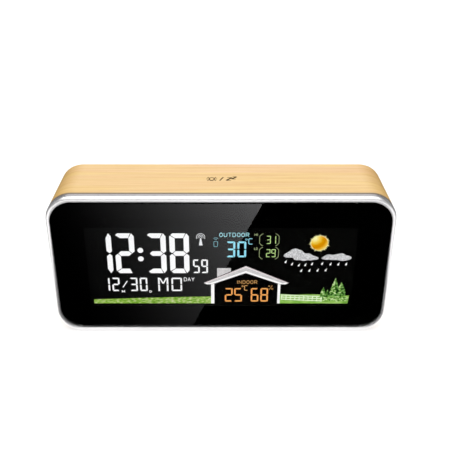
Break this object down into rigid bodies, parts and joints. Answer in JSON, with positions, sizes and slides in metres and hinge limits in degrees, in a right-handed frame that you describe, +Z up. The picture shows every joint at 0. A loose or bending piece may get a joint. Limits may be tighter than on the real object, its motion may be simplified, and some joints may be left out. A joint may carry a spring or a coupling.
{
  "type": "home weather station",
  "caption": "Low wide box with a wood-grain case, silver front trim and a black window over a colour segment display; rear keys, battery bay, vents and inlet.",
  "frame": {"origin": "middle of the base, on the surface that the rubber feet stand on", "axes": "+X to the right of someone reading the display, +Y from the display to the back, +Z up"},
  "size_m": [0.19, 0.046, 0.088],
  "materials": {
    "wood_grain_shell": "satin, printed with a light wood grain",
    "silver_trim": "satin silver coating",
    "clear_window": "polished acrylic",
    "black_ink": "printed black",
    "display_glass": "polished",
    "polariser": "clear dark film",
    "colour_film": "printed in colour zones",
    "white_plastic": "matte",
    "clear_plastic": "polished",
    "black_plastic": "fine moulded texture",
    "black_gloss_plastic": "smooth",
    "grey_rubber": "matte",
    "black_rubber": "matte",
    "foam": "matte",
    "circuit_board": "green solder mask",
    "chip_black": "matte moulding",
    "steel": "zinc plated",
    "nickel": "nickel plated",
    "tin_can": "satin",
    "copper": "bare",
    "ferrite": "matte",
    "cell_label": "plain printed sleeve",
    "red_wire": "smooth",
    "black_wire": "smooth",
    "white_wire": "smooth",
    "grey_ribbon": "smooth",
    "lamp_yellow": "smooth",
    "black_key": "smooth satin"
  },
  "bodies": {
    "case": {"backlight_frame": "white_plastic", "backlight_leds": "lamp_yellow", "battery_cells": "cell_label", "battery_contacts": "nickel", "battery_springs": "nickel", "black_leads": "black_wire", "board_capacitors": "tin_can", "board_chips": "chip_black", "board_connectors": "white_plastic", "board_crystal": "tin_can", "buzzer": "black_gloss_plastic", "case_screws": "steel", "case_sleeve": "wood_grain_shell", "clamp_screws": "steel", "climate_sensor": "circuit_board", "colour_film": "colour_film", "dc_jack": "black_gloss_plastic", "dc_jack_pin": "nickel", "diffuser_sheet": "white_plastic", "display_clamp": "black_plastic", "dust_gasket": "foam", "front_bezel": "silver_trim", "front_lens": "clear_window", "key_board": "circuit_board", "key_board_screws": "steel", "key_ribbon": "grey_ribbon", "key_switches": "chip_black", "lcd_front_glass": "display_glass", "lcd_front_polariser": "polariser", "lcd_rear_glass": "display_glass", "lcd_rear_polariser": "polariser", "led_boards": "circuit_board", "lens_mask": "black_ink", "light_guide": "clear_plastic", "main_board": "circuit_board", "main_board_screws": "steel", "rear_cover": "black_plastic", "receiver_antenna": "copper", "receiver_board": "circuit_board", "red_leads": "red_wire", "reflector_sheet": "white_plastic", "rubber_feet": "black_rubber", "signal_leads": "white_wire", "time_antenna_coil": "copper", "time_antenna_rod": "ferrite", "touch_electrode": "copper", "zebra_strips": "grey_rubber"},
    "door": {"battery_door": "black_plastic"},
    "mode_button": {"mode_key": "black_key", "mode_key_plunger": "black_gloss_plastic"},
    "alarm_button": {"alarm_key": "black_key", "alarm_key_plunger": "black_gloss_plastic"},
    "memory_button": {"memory_key": "black_key", "memory_key_plunger": "black_gloss_plastic"},
    "channel_button": {"channel_key": "black_key", "channel_key_plunger": "black_gloss_plastic"},
    "up_button": {"up_key": "black_key", "up_key_plunger": "black_gloss_plastic"},
    "down_button": {"down_key": "black_key", "down_key_plunger": "black_gloss_plastic"}
  },
  "joints": [
    {"name": "battery_door_hinge", "type": "hinge", "parent": "case", "child": "door", "pos_m": [0.036, 0.0206, 0.0234], "axis": [-1, 0, 0], "range_deg": [0, 90]},
    {"name": "mode_button_press", "type": "slide", "parent": "case", "child": "mode_button", "axis": [0, -1, 0], "range_m": [0, 0.0006], "stiffness_N_per_m": 400, "springref_m": -0.003},
    {"name": "alarm_button_press", "type": "slide", "parent": "case", "child": "alarm_button", "axis": [0, -1, 0], "range_m": [0, 0.0006], "stiffness_N_per_m": 400, "springref_m": -0.003},
    {"name": "memory_button_press", "type": "slide", "parent": "case", "child": "memory_button", "axis": [0, -1, 0], "range_m": [0, 0.0006], "stiffness_N_per_m": 400, "springref_m": -0.003},
    {"name": "channel_button_press", "type": "slide", "parent": "case", "child": "channel_button", "axis": [0, -1, 0], "range_m": [0, 0.0006], "stiffness_N_per_m": 400, "springref_m": -0.003},
    {"name": "up_button_press", "type": "slide", "parent": "case", "child": "up_button", "axis": [0, -1, 0], "range_m": [0, 0.0006], "stiffness_N_per_m": 400, "springref_m": -0.003},
    {"name": "down_button_press", "type": "slide", "parent": "case", "child": "down_button", "axis": [0, -1, 0], "range_m": [0, 0.0006], "stiffness_N_per_m": 400, "springref_m": -0.003}
  ]
}
